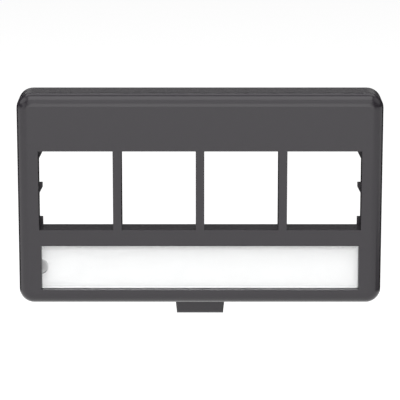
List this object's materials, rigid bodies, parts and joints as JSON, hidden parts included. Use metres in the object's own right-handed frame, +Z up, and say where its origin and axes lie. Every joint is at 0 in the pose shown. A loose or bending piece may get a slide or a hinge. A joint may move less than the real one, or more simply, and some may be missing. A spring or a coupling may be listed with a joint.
{
  "type": "keystone faceplate",
  "caption": "Snap-in keystone faceplate for a furniture opening: a row of open ports, a paper label under a clear removable cover, and a release tab below.",
  "frame": {"origin": "centre of the rear rim's plane, which is the front surface of the furniture panel at the middle of its opening", "axes": "+X to the right seen from the front, +Y into the panel, +Z up; the face looks along -Y"},
  "size_m": [0.073, 0.0119, 0.0466],
  "materials": {
    "moulding": "fine-textured charcoal ABS",
    "paper": "plain white paper",
    "clear": "clear polycarbonate"
  },
  "bodies": {
    "plate": {"faceplate": "moulding", "label_card": "paper"},
    "cover": {"label_cover": "clear"}
  },
  "joints": [
    {"name": "cover_pull", "type": "slide", "parent": "plate", "child": "cover", "axis": [0, -1, 0], "range_m": [0, 0.012]}
  ]
}
